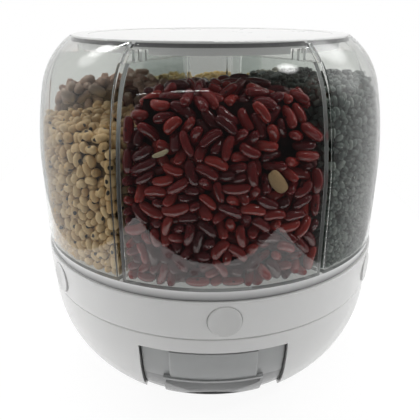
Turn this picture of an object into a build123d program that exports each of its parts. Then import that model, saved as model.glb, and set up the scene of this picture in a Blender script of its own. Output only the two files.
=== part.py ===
from build123d import *
from math import asin, cos, degrees, radians, sin, sqrt, tan
import os

# Rotating cereal dispenser. Millimetres, +Z up, the floor at Z = 0 under the rubber feet, the turning
# axis on Z. The drawer faces -Y. Six tanks stand round the axis on a rotor that turns on a bowl-shaped
# base. Pressing the button in front of a tank slides its gate inward, and grain falls into the drawer.

# Overall
tank_names = ["front", "front_right", "rear_right", "rear", "rear_left", "front_left"]
rotor_turn = 3.0          # degrees that the rotor stands past the drawer
tank_wall_radius = 144.0  # outside of the clear wall, where it is upright
ring_proud = 0.9          # the button ring stands out past the clear wall
ring_radius = tank_wall_radius + ring_proud
bowl_set_back = 1.7       # the bowl's top edge stands back from the ring
bowl_radius = ring_radius - bowl_set_back

# Heights above the floor
foot_height = 2.5
bowl_top = 79.8
ring_gap = 0.6            # seam between the bowl and the ring
ring_height = 30.6
ring_bottom = bowl_top + ring_gap
ring_top = ring_bottom + ring_height
floor_edge_z = ring_top + 10.5    # tank floor where it meets the outer wall
upright_top_z = ring_top + 64.0   # the clear wall is upright up to here

# Dome of the tanks: two arcs in section
dome_radius_1, dome_angle_1 = 300.0, 13.0
dome_radius_2, dome_angle_2 = 60.0, 54.5

# Tank
tank_wall = 2.2
tank_gap = 3.4            # between the walls of two neighbours
hub_flat = 34.0           # from the axis to a tank's inner end wall
tank_floor = 2.0
tank_edge_round, cavity_edge_round = 0.8, 0.5    # where the side walls meet the outer wall
hopper_rise = 27.0        # from the outlet to the inner end of the sloping floor
hopper_overlap = 8.0      # the slope starts this far inside the inner end wall
outlet_z = ring_top + 6.0             # tank floor at the outlet
outlet_depth = 12.0                   # radial stretch of the outlet
outlet_out = ring_radius - 40.9
outlet_in = outlet_out - outlet_depth
outlet_flat = 3.0                     # level floor on each side of the outlet
outlet_width = 38.0
spout_wall = 1.8
spout_drop = 5.5                      # the spout ends this far below the tray's face
spout_bottom = ring_top - spout_drop
lug_length, lug_height = 5.0, 7.0     # tabs on the side walls that carry the lid

# Lid
lid_proud = 1.165         # the disc's face stands above the dome's rim
lid_clearance = 0.35      # round the disc in the mouth of the dome
lid_thickness = 2.6
lid_edge_round = 0.8
lid_recess_margin, lid_recess_depth = 13.0, 0.4
plug_gap, plug_wall, plug_depth = 7.4, 2.2, 10.0
side_wall_drop = 14.0     # from the lid's face down to the tanks' side walls
notch_depth = 3.4
notch_width = 12.0
seal_thickness = 2.4
seal_clearance = 0.25

# Rotor
tray_thickness = 2.0
tray_rim_wall, tray_rim_set_back = 2.2, 0.2    # the rim stands right under the clear wall
tray_rim_lean = 0.9       # its lower edge is drawn in by this much
tray_rim_gap = 0.2        # from the rim to the tanks' floors
tray_rim_above_ring = 1.2
spout_clearance = 0.5
ring_wall = 2.6
ring_flange_thickness, ring_flange_width = 2.0, 9.0
ring_edge_round = 0.8
ring_draft = 0.6          # the ring's bore narrows by this much towards its lower edge
ring_low_proud = 0.4      # the ring's lower edge past the bowl's top edge
ring_belly, ring_belly_share = 0.3, 0.45    # set-back and height of the outline's middle point
rotor_base_z, rotor_base_thickness = ring_bottom + 0.1, 2.0
rotor_base_clearance = 0.4
skirt_depth, skirt_wall, skirt_gap = 6.5, 1.8, 1.2    # hangs inside the bowl and closes the seam
window_width, window_margin = 42.0, 4.0
hub_tube_outer, hub_tube_wall = 15.5, 2.5
hub_height = 4.0          # of the hub's boss above the wheel's lower face
hub_screw_wall = 1.2      # round a tray screw in the hub's tube

# Buttons and gates
button_radius = 12.2
button_proud = 0.6        # the face stands out past the ring
button_clearance = 0.35
button_z = (ring_bottom + ring_top) / 2 + 0.3
button_depth = 14.0
button_wall = 1.8
button_dish, button_dish_margin = 0.7, 1.2
button_face_wall = 3.35   # from the face to the hollow behind it
button_edge_round = 0.8
button_flange, button_flange_thickness, button_stop_gap = 1.1, 1.6, 0.2
button_travel = 13.0
collar_wall, collar_set_back, seat_relief = 1.6, 3.0, 0.1
stem_radius = 5.0
gate_thickness, gate_width = 1.9, 45.0
gate_below_spout = 0.3
gate_inner, gate_tab_thickness = outlet_in - 8.0, 2.0
gate_land = 1.5           # from the outlet to the gate's window when closed
gate_bridge = 4.0         # between the window and the outer tab
gate_tab_width, gate_tab_depth = 16.0, 14.0
rail_clearance, rail_wall, rail_lip, rail_lip_thickness = 0.4, 2.2, 3.0, 2.0
rail_play, rail_overrun = 0.3, 2.0    # below the gate, and past its outer end

# Springs
spring_radius, wire_radius = 4.0, 0.55
spring_turns = 7
spring_seat = gate_inner - 27.0   # radius of the fixed seat's face
spring_play = 0.1         # at each end of the spring
seat_thickness, seat_margin = 2.2, 2.0

# Ball ring
ball_radius, ball_count = 3.0, 24
ball_ring_set_back = 25.2
ball_ring_radius = bowl_radius - ball_ring_set_back
ball_play = 0.08
ball_seat_depth = 1.5
track_width, track_height = 9.0, 2.5
cage_thickness, cage_width, cage_play = 1.6, 8.4, 0.2

# Spindle
spindle_radius, spindle_play = 8.0, 0.06
spindle_shoulder, shoulder_gap = 4.0, 1.0
washer_radius, washer_thickness, washer_play = 12.0, 1.5, 0.1
screw_play = 0.05
screw_radius, screw_head_radius, screw_head_height = 1.5, 3.0, 2.0
spindle_screw_length = 12.0

# Base
bowl_wall = 2.6
bowl_arc_radius = 103.0
bowl_arc_z = bowl_top - 4.1
bowl_edge_round = 1.0
bowl_ledge_width, bowl_ledge_thickness, bowl_ledge_bite = 13.0, 1.8, 2.2
deck_z, deck_thickness, deck_clearance = bowl_top - 9.8, 2.5, 0.4
chute_margin = 3.0
chute_depth, chute_wall = 2.0, 2.0
plate_thickness, plate_lip, plate_clearance = 2.5, 2.0, 0.3
foot_radius, foot_recess, foot_count, foot_play = 7.0, 1.0, 6, 0.1
foot_set_back = 51.2
foot_circle = bowl_radius - foot_set_back
screw_boss_radius, boss_height = 4.5, 12.0
boss_clearance = 0.2

# Drawer
opening_width = 110.0
opening_top = deck_z - 2.0
bay_wall, bay_back, bay_top_gap = 2.0, -14.0, 0.5
drawer_side_gap = 1.5
drawer_top_gap = 1.6
drawer_wall = 2.0
drawer_back_gap = 3.0
drawer_floor_gap = 0.3
drawer_corner = 6.0
panel_inset = 3.0         # side panels behind the bowl's surface
middle_inset = 0.6        # middle panel behind the bowl's surface
middle_width, middle_edge_round = 66.0, 1.5
ledge_width, ledge_thickness, ledge_z = 76.0, 2.6, 38.0
ledge_proud = 0.6
scoop_bottom, scoop_depth = 10.5, 12.0
scoop_belly, scoop_belly_rise = 1.5, 3.0    # middle point of the scoop's hollow
rail_height, bay_rail_z = 3.0, 22.0
bay_rail_play, bay_rail_set_back = 0.25, 2.0
bay_clearance = 0.4

# Screw circles and lengths
ring_screw_set_back, deck_screw_set_back, bottom_screw_set_back = 11.9, 15.2, 45.2
ring_screw_circle = ring_radius - ring_screw_set_back
deck_screw_circle = bowl_radius - deck_screw_set_back
bottom_screw_circle = bowl_radius - bottom_screw_set_back
deck_screw_room = 2.5     # between the drawer's tunnel and the deck screws' bosses
plate_lip_margin = 1.0    # between the bowl's lip and the bottom screws' circle
screw_hole_play = 0.2     # round a screw in the piece that it holds
head_recess = 0.6         # bottom screws' heads are let into the plate
ring_screw_length, deck_screw_length, bottom_screw_length, tray_screw_length = 9.0, 8.0, 8.0, 8.0
bottom_screw_angles = (50, 100, 150, 210, 260, 310)   # from the front, clear of the drawer
tray_screw_count = 3

far = 400.0               # larger than the whole part, for cutting blocks
past = 1.0                # cutters reach this far past the face that they cut
weld = 0.5                # what is joined to a wall reaches this far into it
tank_count = len(tank_names)
step = 360.0 / tank_count


def place(shape, index):
    """Turn a piece made at the front, towards -Y, to tank number index."""
    return Rot(0, 0, rotor_turn + step * index) * shape


def block(x0, x1, y0, y1, z0, z1):
    """Box between two corners."""
    return Pos((x0 + x1) / 2, (y0 + y1) / 2, (z0 + z1) / 2) * Box(x1 - x0, y1 - y0, z1 - z0)


def disc(radius, z0, z1, x=0.0, y=0.0):
    """Upright cylinder between two heights."""
    return Pos(x, y, (z0 + z1) / 2) * Cylinder(radius, z1 - z0)


def tube(outer, inner, z0, z1, x=0.0, y=0.0):
    """Upright tube between two heights."""
    return disc(outer, z0, z1, x, y) - disc(inner, z0 - past, z1 + past, x, y)


def lying(radius, r0, r1, z):
    """Cylinder that lies along -Y from radius r0 to radius r1."""
    return Pos(0, -(r0 + r1) / 2, z) * Rot(90, 0, 0) * Cylinder(radius, r1 - r0)


def at_angles(radius, angles):
    """Points on a circle round the axis, at angles in degrees from the front."""
    return [(radius * cos(radians(a - 90)), radius * sin(radians(a - 90))) for a in angles]


def on_circle(radius, count, offset):
    """Points evenly spaced on a circle round the axis, the first offset degrees past the front."""
    return at_angles(radius, [offset + 360 / count * n for n in range(count)])


def chain(points):
    """Straight edges through (radius, height) points, with repeated points left out."""
    kept = [p for p, before in zip(points, [None] + points[:-1])
            if before is None or abs(p[0] - before[0]) + abs(p[1] - before[1]) > 1e-6]
    return Polyline([(r, 0, z) for r, z in kept]).edges()


def arc(start, middle, end):
    """Arc through three (radius, height) points."""
    return ThreePointArc(*[(r, 0, z) for r, z in (start, middle, end)]).edges()


def turned(edges):
    """Solid of revolution about Z from a closed outline."""
    return revolve(make_face(edges), Axis.Z)


def section(points):
    """Solid of revolution from a polygon of (radius, height) points."""
    outline = [(r, 0, z) for r, z in points]
    return revolve(make_face(Polyline(outline, close=True)), Axis.Z)


def arc_point(centre, radius, angle):
    """Point (radius, height) on an arc of the section, angle in degrees above the horizontal."""
    return centre[0] + radius * cos(radians(angle)), centre[1] + radius * sin(radians(angle))


# The dome's two arcs share a tangent where they meet
dome_centre_1 = (tank_wall_radius - dome_radius_1, upright_top_z)
dome_join = arc_point(dome_centre_1, dome_radius_1, dome_angle_1)
dome_centre_2 = arc_point(dome_join, -dome_radius_2, dome_angle_1)
dome_rim = arc_point(dome_centre_2, dome_radius_2, dome_angle_2)
bowl_arc_centre = (bowl_radius - bowl_arc_radius, bowl_arc_z)


def dome(inset, z0, z1):
    """Solid inside the dome's outline, moved in by inset, from height z0, closed flat at z1."""
    low = tank_wall_radius - inset
    r1, r2 = dome_radius_1 - inset, dome_radius_2 - inset
    join = arc_point(dome_centre_1, r1, dome_angle_1)
    middle_1 = arc_point(dome_centre_1, r1, dome_angle_1 / 2)
    middle_2 = arc_point(dome_centre_2, r2, (dome_angle_1 + dome_angle_2) / 2)
    top = arc_point(dome_centre_2, r2, dome_angle_2)
    lines = chain([top, (top[0], z1), (0, z1), (0, z0), (low, z0), (low, upright_top_z)])
    return turned(lines + arc((low, upright_top_z), middle_1, join) + arc(join, middle_2, top))


def bowl_outline_radius(z, inset=0.0):
    """Radius of the bowl's outside, moved in by inset, at height z."""
    if z >= bowl_arc_z:
        return bowl_radius - inset
    drop = bowl_arc_z - z
    return bowl_arc_centre[0] + sqrt((bowl_arc_radius - inset) ** 2 - drop ** 2)


def bowl_body(inset, z0, z1):
    """Solid inside the bowl's outline, moved in by inset, between two heights."""
    low, high = bowl_outline_radius(z0, inset), bowl_outline_radius(z1, inset)
    bend = min(z1, bowl_arc_z)
    middle_z = (z0 + bend) / 2
    end = (bowl_outline_radius(bend, inset), bend)
    side = arc((low, z0), (bowl_outline_radius(middle_z, inset), middle_z), end)
    return turned(side + chain([end, (high, z1), (0, z1), (0, z0), (low, z0)]))


def wedge(inset, z0, z1):
    """Prism of one tank's sector, with its walls moved in by inset from the middle of the gap."""
    half = radians(step / 2)
    shift = inset / sin(half)         # the sides' corner moves out along -Y
    inner = hub_flat + inset
    outer = far / 2
    inner_x = (inner - shift) * tan(half)
    outer_x = (outer - shift) * tan(half)
    corners = [(-inner_x, -inner), (inner_x, -inner), (outer_x, -outer), (-outer_x, -outer)]
    outline = Polyline(*corners, close=True)
    return Pos(0, 0, z0) * extrude(make_face(outline), z1 - z0)


# Places that several pieces share
tank_edge_bottom = floor_edge_z - tank_floor
tank_inner = tank_wall_radius - tank_wall
mouth_radius = arc_point(dome_centre_2, dome_radius_2 - tank_wall, dome_angle_2)[0]
lid_radius = mouth_radius - lid_clearance
lid_top = dome_rim[1] + lid_proud
plug_radius = mouth_radius - plug_gap
plug_bottom = lid_top - plug_depth
side_wall_top = lid_top - side_wall_drop
lug_radius = plug_radius - 1.0
tray_top = ring_top + tray_thickness
rim_outer = tank_wall_radius - tray_rim_set_back
rim_inner = rim_outer - tray_rim_wall
rim_bottom, rim_top = ring_top + tray_rim_above_ring, tank_edge_bottom - tray_rim_gap
lid_bottom = lid_top - lid_thickness
gate_top = spout_bottom - gate_below_spout
gate_bottom = gate_top - gate_thickness
window_in = outlet_out + gate_land
window_out = window_in + outlet_depth + gate_land / 2
gate_outer = window_out + gate_bridge
rail_start, rail_end = gate_inner - button_travel, gate_outer + rail_overrun
button_bore = button_radius + button_clearance
guide_bore = button_bore + button_flange
ring_inner = ring_radius - ring_wall
collar_start = ring_inner - button_depth + collar_set_back
ball_z = rotor_base_z - track_height + ball_seat_depth - ball_radius
track_face = ball_z + ball_radius - ball_seat_depth
deck_track_face = ball_z - ball_radius + ball_seat_depth
deck_top = deck_z + deck_thickness
hub_top = rotor_base_z + hub_height
spindle_top = hub_top + washer_play
plate_top = foot_height + plate_thickness - foot_recess
plate_bottom = plate_top - plate_thickness
opening_half = opening_width / 2
bay_outer = opening_half + bay_wall
bay_top = deck_z - chute_depth - bay_top_gap
tray_screw_circle = hub_tube_outer - hub_tube_wall / 2
tray_screw_points = on_circle(tray_screw_circle, tray_screw_count, 0)
ring_screw_points = on_circle(ring_screw_circle, tank_count, rotor_turn + step / 2)
deck_screw_x = bay_outer + deck_screw_room + screw_boss_radius
deck_screw_angle = degrees(asin(deck_screw_x / deck_screw_circle))
deck_screw_angles = [90 * quarter + side * (90 - deck_screw_angle) for quarter in (1, 3) for side in (-1, 0, 1)]
deck_screw_points = at_angles(deck_screw_circle, deck_screw_angles)
bottom_screw_points = at_angles(bottom_screw_circle, bottom_screw_angles)
foot_points = on_circle(foot_circle, foot_count, 0)
ball_points = on_circle(ball_ring_radius, ball_count, 0)
drawer_half = opening_half - drawer_side_gap
drawer_top = opening_top - drawer_top_gap
bay_floor_top = plate_top + bay_wall
drawer_bottom = bay_floor_top + drawer_floor_gap
drawer_back = bay_back - bay_wall - drawer_back_gap


def tank():
    """Clear wedge tank, open at the top, with a hopper floor and a spout."""
    inner_wall = hub_flat + tank_wall
    hopper = [(inner_wall - hopper_overlap, outlet_z + hopper_rise), (outlet_in - outlet_flat, outlet_z),
              (outlet_out + outlet_flat, outlet_z), (tank_inner, floor_edge_z)]
    under = [(r, z - tank_floor) for r, z in hopper]
    inside = section([(0, far)] + [(0, hopper[0][1])] + hopper + [(tank_inner, far)])
    below = section([(0, 0), (0, under[0][1])] + under + [(far, tank_edge_bottom), (far, 0)])
    outer = dome(0, ring_top, dome_rim[1]) & wedge(tank_gap / 2, 0, far)
    outer = fillet(outer_side_edges(outer), tank_edge_round)
    cavity = dome(tank_wall, ring_top, 2 * lid_top) & wedge(tank_gap / 2 + tank_wall, 0, far)
    cavity = fillet(outer_side_edges(cavity), cavity_edge_round)
    cavity = cavity & inside
    lug_tops = disc(lug_radius + lug_length, side_wall_top - past, far) - disc(lug_radius, 0, far)
    lug_tops -= block(-far, far, -far, far, side_wall_top + lug_height, 2 * far)
    above_walls = dome(tank_wall, 0, 2 * lid_top) - disc(far / 2, -past, side_wall_top)
    body = outer - cavity - below
    body = body - (above_walls - lug_tops)
    spout = block(-outlet_width / 2 - spout_wall, outlet_width / 2 + spout_wall,
                  -outlet_out - spout_wall, -outlet_in + spout_wall, spout_bottom, outlet_z - tank_floor / 2)
    hole = block(-outlet_width / 2, outlet_width / 2, -outlet_out, -outlet_in,
                 spout_bottom - past, outlet_z + past)
    return body + spout - hole


def outer_side_edges(shape):
    """Upright edges where a sector's sides meet the dome."""
    return [e for e in shape.edges() if min((e @ 0).Z, (e @ 1).Z) > ring_top - past
            and abs((e @ 0).Z - (e @ 1).Z) > tank_floor
            and sqrt((e @ 0.5).X ** 2 + (e @ 0.5).Y ** 2) > outlet_in]


def lid():
    """White lid: a flush disc, a plug skirt below it and notches that stand on the tanks' lugs."""
    body = disc(lid_radius, lid_bottom, lid_top)
    body = fillet(body.edges().group_by(Axis.Z)[-1], lid_edge_round)
    body -= disc(lid_radius - lid_recess_margin, lid_top - lid_recess_depth, lid_top + past)
    body += tube(plug_radius, plug_radius - plug_wall, plug_bottom, lid_bottom)
    for index in range(tank_count):
        notch = block(-notch_width / 2, notch_width / 2, -far, 0, plug_bottom - past, plug_bottom + notch_depth)
        body -= Rot(0, 0, rotor_turn + step * (index + 0.5)) * notch
    return body


def lid_seal():
    """Soft ring on the plug, right under the disc, that wipes the mouth of the dome."""
    return tube(mouth_radius - seal_clearance, plug_radius, lid_bottom - seal_thickness, lid_bottom)


def gate():
    """Sliding shutter with a window; its outer tab takes the button, its inner tab the spring."""
    half = gate_width / 2
    body = block(-half, half, -gate_outer, -gate_inner, gate_bottom, gate_top)
    body -= block(-outlet_width / 2, outlet_width / 2, -window_out, -window_in,
                  gate_bottom - past, gate_top + past)
    tab = gate_tab_width / 2
    body += block(-tab, tab, -gate_outer, -gate_outer + gate_tab_thickness, gate_top - gate_tab_depth, gate_top)
    body += block(-tab, tab, -gate_inner - gate_tab_thickness, -gate_inner, gate_top - gate_tab_depth, gate_top)
    return body


def button():
    """Round cap with a shallow dish, a stop flange and a stem that pushes the gate."""
    face = ring_radius + button_proud
    body = lying(button_radius, face - button_depth, face, button_z)
    body = fillet(body.edges().group_by(Axis.Y)[0], button_edge_round)
    flange_face = sqrt(ring_inner ** 2 - (button_radius + button_flange) ** 2) - button_stop_gap
    body += lying(button_radius + button_flange, flange_face - button_flange_thickness, flange_face, button_z)
    body -= lying(button_radius - button_wall, face - button_depth - past, face - button_face_wall, button_z)
    dish_radius = (button_radius - button_dish_margin) ** 2 / (2 * button_dish) + button_dish / 2
    body -= Pos(0, -face - dish_radius + button_dish, button_z) * Sphere(dish_radius)
    body += lying(stem_radius, gate_outer, face - button_face_wall + weld, button_z)
    return body


def spring():
    """Compression spring between the tray's seat and the gate's inner tab."""
    length = gate_inner - spring_seat - 2 * (wire_radius + spring_play)
    path = Helix(pitch=length / spring_turns, height=length, radius=spring_radius)
    wire = sweep(Plane(path @ 0, z_dir=path % 0) * Circle(wire_radius), path=path, is_frenet=True)
    start = -gate_inner + wire_radius + spring_play
    return Pos(0, start, button_z) * Rot(-90, 0, 0) * wire


def button_ring():
    """White ring round the rotor with a hole and a guide collar for each button."""
    low = (bowl_radius + ring_low_proud, ring_bottom)
    belly = (ring_radius - ring_belly, ring_bottom + ring_height * ring_belly_share)
    high = (ring_radius, ring_top)
    body = turned(arc(low, belly, high)
                  + chain([high, (ring_inner, ring_top), (ring_inner - ring_draft, ring_bottom), low]))
    outer_edges = [e for e in body.edges() if e.geom_type == GeomType.CIRCLE and e.radius > ring_inner + weld]
    body = fillet(outer_edges, ring_edge_round)
    body += tube(ring_inner + weld, ring_inner - ring_flange_width, ring_top - ring_flange_thickness, ring_top)
    for x, y in ring_screw_points:
        body += disc(screw_boss_radius, rotor_base_z + rotor_base_thickness, ring_top - weld, x, y)
        body -= disc(screw_radius, 0, rotor_base_z + rotor_base_thickness + ring_screw_length, x, y)
    inside = disc(ring_inner + weld, ring_bottom, ring_top)
    for index in range(tank_count):
        collar = lying(guide_bore + collar_wall, collar_start, ring_inner + past, button_z)
        body += place(collar, index) & inside
        body -= place(lying(guide_bore, collar_start - past, ring_inner - seat_relief, button_z), index)
        body -= place(lying(button_bore, collar_start - past, far, button_z), index)
    return body


def rotor_tray():
    """White tray whose rim shows under the tanks, with spout holes, gate rails and spring seats."""
    body = disc(rim_inner + weld, ring_top, tray_top)
    body += section([(rim_inner, rim_bottom), (rim_outer - tray_rim_lean, rim_bottom),
                     (rim_outer, rim_top), (rim_inner, rim_top)])
    gap = spout_wall + spout_clearance
    rail = gate_width / 2 + rail_clearance
    rail_bottom = gate_bottom - rail_play
    lip_bottom = rail_bottom - rail_lip_thickness
    for index in range(tank_count):
        half = outlet_width / 2 + gap
        hole = block(-half, half, -outlet_out - gap, -outlet_in + gap, ring_top - past, tray_top + past)
        body -= place(hole, index)
        for side in (-1, 1):
            web = sorted((side * rail, side * (rail + rail_wall)))
            lip = sorted((side * (rail - rail_lip), side * (rail + rail_wall)))
            body += place(block(*web, -rail_end, -rail_start, lip_bottom, ring_top + weld), index)
            body += place(block(*lip, -rail_end, -rail_start, lip_bottom, rail_bottom), index)
        tab = gate_tab_width / 2
        seat = block(-tab, tab, -spring_seat, -spring_seat + seat_thickness,
                     button_z - spring_radius - seat_margin, ring_top + weld)
        body += place(seat, index)
    for x, y in tray_screw_points:
        body -= disc(screw_radius, ring_top - past, tray_top + past, x, y)
    return body


def rotor_base():
    """Lower wheel of the rotor: hub, grain windows, upper ball track and the skirt inside the bowl."""
    top = rotor_base_z + rotor_base_thickness
    radius = ring_inner - ring_draft - rotor_base_clearance
    body = disc(radius, rotor_base_z, top)
    skirt_outer = bowl_radius - bowl_wall - skirt_gap
    body += tube(skirt_outer, skirt_outer - skirt_wall, ring_bottom - skirt_depth, rotor_base_z + weld)
    body += tube(ball_ring_radius + track_width / 2, ball_ring_radius - track_width / 2, track_face,
                 rotor_base_z + weld)
    body += disc(hub_tube_outer, rotor_base_z, hub_top)
    body += tube(hub_tube_outer, hub_tube_outer - hub_tube_wall, hub_top - weld, ring_top)
    body -= disc(spindle_radius + spindle_play, 0, far)
    for x, y in tray_screw_points:
        body += disc(screw_radius + hub_screw_wall, ring_top - tray_screw_length - past, ring_top, x, y)
        body -= disc(screw_radius, ring_top - tray_screw_length, ring_top + past, x, y)
    groove = Pos(0, 0, ball_z) * Torus(ball_ring_radius, ball_radius + ball_play)
    body -= groove
    for x, y in ring_screw_points:
        body -= disc(screw_radius + screw_hole_play, 0, far, x, y)
    half = window_width / 2
    for index in range(tank_count):
        hole = block(-half, half, -outlet_out - window_margin, -outlet_in + window_margin, 0, top + past)
        body -= place(hole, index)
        room = lying(guide_bore + collar_wall + rotor_base_clearance, collar_start - past, far, button_z)
        body -= place(room, index)
    return body


def bearing_balls():
    """Steel balls between the two tracks."""
    return Compound([Pos(x, y, ball_z) * Sphere(ball_radius) for x, y in ball_points])


def bearing_cage():
    """Flat ring that keeps the balls apart."""
    body = tube(ball_ring_radius + cage_width / 2, ball_ring_radius - cage_width / 2,
                ball_z - cage_thickness / 2, ball_z + cage_thickness / 2)
    for x, y in ball_points:
        body -= disc(ball_radius + cage_play, 0, far, x, y)
    return body


def base_deck():
    """Deck over the drawer: spindle, lower ball track and the chute for the grain."""
    radius = bowl_outline_radius(deck_z, bowl_wall) - deck_clearance
    body = disc(radius, deck_z, deck_top)
    body += tube(ball_ring_radius + track_width / 2, ball_ring_radius - track_width / 2, deck_top - weld,
                 deck_track_face)
    body -= Pos(0, 0, ball_z) * Torus(ball_ring_radius, ball_radius + ball_play)
    body += disc(spindle_radius + spindle_shoulder, deck_top - weld, rotor_base_z - shoulder_gap)
    body += disc(spindle_radius, deck_top, spindle_top)
    body -= disc(screw_radius, spindle_top - spindle_screw_length, spindle_top + past)
    half = outlet_width / 2 + chute_margin
    wall = chute_wall
    wide = block(-half - wall, half + wall, -outlet_out - chute_margin - wall, -outlet_in + chute_margin + wall,
                 deck_z - chute_depth, deck_z + weld)
    hole = block(-half, half, -outlet_out - chute_margin, -outlet_in + chute_margin, 0, far)
    body = body + wide - hole
    for x, y in deck_screw_points:
        body -= disc(screw_radius + screw_hole_play, 0, far, x, y)
    return body


def base_bowl():
    """White lower shell with the drawer opening, a ledge for the deck and screw bosses."""
    low = plate_bottom
    body = bowl_body(0, low, bowl_top)
    body = fillet(body.edges().group_by(Axis.Z)[-1], bowl_edge_round)
    shell = body - bowl_body(bowl_wall, low, bowl_top)
    shell -= block(-opening_half, opening_half, -far, 0, 0, opening_top)
    ledge_outer = bowl_outline_radius(deck_z, bowl_wall) + weld
    inner = tube(ledge_outer, ledge_outer - bowl_ledge_width, deck_z - bowl_ledge_thickness, deck_z)
    lip_outer = bowl_outline_radius(plate_top, bowl_wall) + weld
    lip = tube(lip_outer, bottom_screw_circle + plate_lip_margin, plate_top, plate_top + plate_lip)
    for x, y in bottom_screw_points:
        lip += disc(screw_boss_radius, plate_top, plate_top + boss_height, x, y)
        lip -= disc(screw_radius, 0, plate_top + bottom_screw_length, x, y)
    room = bay_outer + boss_clearance
    lip -= block(-room, room, -far, bay_back + boss_clearance, 0, far)
    for x, y in deck_screw_points:
        inner += disc(screw_boss_radius, deck_z - boss_height, deck_z, x, y)
        inner -= disc(screw_radius, deck_z - deck_screw_length, far, x, y)
    return shell + ((inner + lip) & bowl_body(bowl_ledge_bite, low, bowl_top))


def bottom_plate():
    """Flat plate that closes the bowl from below and carries the feet."""
    body = bowl_body(bowl_wall + plate_clearance, plate_bottom, plate_top)
    for x, y in bottom_screw_points:
        body -= disc(screw_radius + screw_hole_play, 0, far, x, y)
        body -= disc(screw_head_radius + screw_hole_play, 0, plate_bottom + head_recess, x, y)
    for x, y in foot_points:
        body -= disc(foot_radius + foot_play, 0, plate_bottom + foot_recess, x, y)
    return body


def rubber_feet():
    """Round pads let into the bottom plate."""
    top = plate_bottom + foot_recess
    pads = [disc(foot_radius, 0, top, x, y) for x, y in foot_points]
    return Compound(pads)


def screws(points, seat, length, upward):
    """Pan-head screws with their heads on the seat height; upward screws point up."""
    sign = 1 if upward else -1
    pieces = []
    for x, y in points:
        head = sorted((seat, seat - sign * screw_head_height))
        shank = sorted((seat - sign * weld, seat + sign * length))
        pieces.append(disc(screw_head_radius, *head, x, y) + disc(screw_radius - screw_play, *shank, x, y))
    return Compound(pieces) if len(pieces) > 1 else pieces[0]


def drawer_bay():
    """Open-topped tunnel behind the bowl's opening that guides the drawer."""
    inside = bowl_body(bowl_wall + bay_clearance, plate_top, bay_top)
    body = block(-bay_outer, bay_outer, -far, bay_back, plate_top, bay_top)
    body -= block(-opening_half, opening_half, -far, bay_back - bay_wall, bay_floor_top, far)
    body = body & inside
    rail_face = drawer_half + bay_rail_play
    for side in (-1, 1):
        rail = block(*sorted((side * rail_face, side * (opening_half + weld))), -far, bay_back - bay_wall,
                     bay_rail_z, bay_rail_z + rail_height)
        body += rail & bowl_body(panel_inset + drawer_wall + bay_rail_set_back, plate_top, deck_z)
    return body


def drawer_cup():
    """Measuring cup that is also the drawer: front panels, finger ledge and a scoop under it."""
    def slab(half, inset, z0, z1, back):
        return bowl_body(inset, z0, z1) & block(-half, half, -far, back, z0, z1)

    body = slab(drawer_half, panel_inset, drawer_bottom, drawer_top, drawer_back)
    body = fillet(body.edges().filter_by(Axis.Z).sort_by(Axis.Y)[-2:], drawer_corner)
    cavity = slab(drawer_half - drawer_wall, panel_inset + drawer_wall, drawer_bottom + drawer_wall,
                  drawer_top + past, drawer_back - drawer_wall)
    cavity = fillet(cavity.edges().filter_by(Axis.Z).sort_by(Axis.Y)[-2:], drawer_corner - drawer_wall)
    ledge_face = bowl_outline_radius(ledge_z)
    scoop_top = ledge_z - ledge_thickness
    scoop_half = ledge_width / 2 - drawer_wall

    def scoop(grow):
        """Room for the fingers under the ledge, or with its wall when grown."""
        top, low = scoop_top + grow, scoop_bottom - grow
        deep, foot = ledge_face - scoop_depth - grow, bowl_outline_radius(scoop_bottom) - panel_inset - grow
        half = scoop_half + grow
        belly = (0, -deep - scoop_belly, (top + low) / 2 + scoop_belly_rise)
        hollow = ThreePointArc((0, -deep, top), belly, (0, -foot, low))
        front = Polyline((0, -foot, low), (0, -far, low), (0, -far, top), (0, -deep, top))
        outline = make_face(hollow.edges() + front.edges())
        return Pos(-half, 0, 0) * extrude(outline, 2 * half, dir=(1, 0, 0))

    inner_face = -ledge_face + 2 * scoop_depth     # past the scoop; the cavity is cut afterwards
    middle = slab(middle_width / 2, middle_inset, ledge_z - weld, drawer_top, inner_face)
    front_edges = [e for e in middle.edges() if (e @ 0.5).Y < inner_face - scoop_depth and
                   abs((e @ 0).Z - (e @ 1).Z) > ledge_thickness]
    middle = fillet(front_edges, middle_edge_round)
    ledge = slab(ledge_width / 2, -ledge_proud, scoop_top, ledge_z, inner_face)
    sides = slab(ledge_width / 2, middle_inset, scoop_bottom - drawer_wall, ledge_z, inner_face)
    body = body + middle + ledge + sides
    body = body - (cavity - scoop(drawer_wall)) - scoop(0)
    return body


nodes = {
    "base_bowl": base_bowl(),
    "bottom_plate": bottom_plate(),
    "rubber_feet": rubber_feet(),
    "bottom_screws": screws(bottom_screw_points, plate_bottom + head_recess, bottom_screw_length, True),
    "drawer_bay": drawer_bay(),
    "base_deck": base_deck(),
    "deck_screws": screws(deck_screw_points, deck_top, deck_screw_length, False),
    "spindle_washer": tube(washer_radius, screw_radius + screw_hole_play, spindle_top,
                           spindle_top + washer_thickness),
    "spindle_screw": screws([(0, 0)], spindle_top + washer_thickness, spindle_screw_length, False),
    "bearing_balls": bearing_balls(),
    "bearing_cage": bearing_cage(),
    "rotor_base": rotor_base(),
    "button_ring": button_ring(),
    "ring_screws": screws(ring_screw_points, rotor_base_z, ring_screw_length, True),
    "rotor_tray": rotor_tray(),
    "tray_screws": screws(tray_screw_points, tray_top, tray_screw_length, False),
    "lid": lid(),
    "lid_seal": lid_seal(),
    "drawer_cup": drawer_cup(),
}
front_tank, front_gate, front_button, front_spring = tank(), gate(), button(), spring()
for index, name in enumerate(tank_names):
    nodes[f"tank_{name}"] = place(front_tank, index)
    nodes[f"gate_{name}"] = place(front_gate, index)
    nodes[f"button_{name}"] = place(front_button, index)
    nodes[f"spring_{name}"] = place(front_spring, index)

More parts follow.
